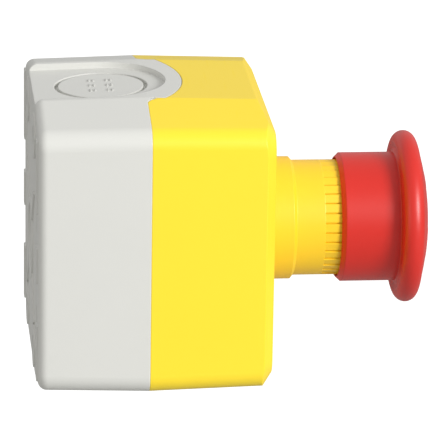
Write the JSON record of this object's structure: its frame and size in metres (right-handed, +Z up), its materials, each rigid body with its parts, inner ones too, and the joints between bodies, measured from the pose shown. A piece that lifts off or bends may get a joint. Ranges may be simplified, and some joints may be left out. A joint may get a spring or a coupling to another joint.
{
  "type": "emergency stop button",
  "caption": "Surface wall control station with a red mushroom head that is pushed to stop and twisted to release, with its contact blocks inside a two-part plastic box.",
  "frame": {"origin": "centre of the four wall fixing holes, on the plane that touches the wall", "axes": "-Y out of the wall along the button's axis, +Z up, +X to the right of a person who faces the station"},
  "size_m": [0.068, 0.0923, 0.068],
  "materials": {
    "base_grey": "fine satin moulded plastic",
    "lid_yellow": "fine satin moulded plastic",
    "collar_yellow": "satin moulded plastic",
    "head_red": "satin moulded plastic",
    "nut_black": "glass-filled plastic",
    "carrier_grey": "glass-filled plastic",
    "stem_white": "smooth plastic",
    "foot_black": "smooth plastic",
    "nc_housing": "moulded plastic",
    "no_housing": "moulded plastic",
    "nc_actuator": "smooth plastic",
    "no_actuator": "smooth plastic",
    "seal_rubber": "soft black rubber",
    "screw_steel": "zinc-plated",
    "spring_steel": "drawn wire",
    "pawl_metal": "pressed",
    "contact_brass": "stamped"
  },
  "bodies": {
    "station": {"rear_base": "base_grey", "front_lid": "lid_yellow", "lid_gasket": "seal_rubber", "lid_screws": "screw_steel", "screw_seals": "seal_rubber", "operator_body": "collar_yellow", "panel_gasket": "seal_rubber", "fixing_nut": "nut_black", "contact_carrier": "carrier_grey", "stem_seal": "seal_rubber", "return_spring": "spring_steel", "latch_spring": "spring_steel", "nc_block_housing": "nc_housing", "nc_terminals": "contact_brass", "nc_terminal_screws": "screw_steel", "nc_clamp_washers": "screw_steel", "nc_spring": "spring_steel", "no_block_housing": "no_housing", "no_terminals": "contact_brass", "no_terminal_screws": "screw_steel", "no_clamp_washers": "screw_steel", "no_spring": "spring_steel"},
    "stem": {"push_stem": "stem_white", "stem_clip": "spring_steel", "pusher_foot": "foot_black"},
    "head": {"mushroom_head": "head_red", "head_insert": "stem_white", "twist_spring": "spring_steel"},
    "pawl_left": {"latch_pawl_left": "pawl_metal"},
    "pawl_right": {"latch_pawl_right": "pawl_metal"},
    "nc_pusher": {"nc_plunger": "nc_actuator", "nc_bridge": "contact_brass"},
    "no_pusher": {"no_plunger": "no_actuator"},
    "no_contact": {"no_bridge": "contact_brass"}
  },
  "joints": [
    {"name": "head_press", "type": "slide", "parent": "station", "child": "stem", "axis": [0, 1, 0], "range_m": [0, 0.0045], "deforming": ["return_spring"]},
    {"name": "head_twist", "type": "hinge", "parent": "stem", "child": "head", "pos_m": [0, -0.08, 0], "axis": [0, 1, 0], "range_deg": [0, 40], "stiffness_Nm_per_rad": 0.06, "deforming": ["twist_spring"]},
    {"name": "latch_left", "type": "slide", "parent": "station", "child": "pawl_left", "axis": [-1, 0, 0], "range_m": [0, 0.001], "deforming": ["latch_spring"]},
    {"name": "latch_right", "type": "slide", "parent": "station", "child": "pawl_right", "axis": [1, 0, 0], "range_m": [0, 0.001]},
    {"name": "nc_push", "type": "slide", "parent": "station", "child": "nc_pusher", "axis": [0, 1, 0], "range_m": [0, 0.0045], "deforming": ["nc_spring"]},
    {"name": "no_push", "type": "slide", "parent": "station", "child": "no_pusher", "axis": [0, 1, 0], "range_m": [0, 0.0045]},
    {"name": "no_close", "type": "slide", "parent": "station", "child": "no_contact", "axis": [0, 1, 0], "range_m": [0, 0.00225], "deforming": ["no_spring"]}
  ],
  "couplings": [
    {"joint": "latch_left", "follows": "head_press", "ratio": 0.22},
    {"joint": "latch_right", "follows": "head_press", "ratio": 0.22},
    {"joint": "nc_push", "follows": "head_press", "ratio": 1},
    {"joint": "no_push", "follows": "head_press", "ratio": 1},
    {"joint": "no_close", "follows": "head_press", "ratio": 0.5}
  ]
}
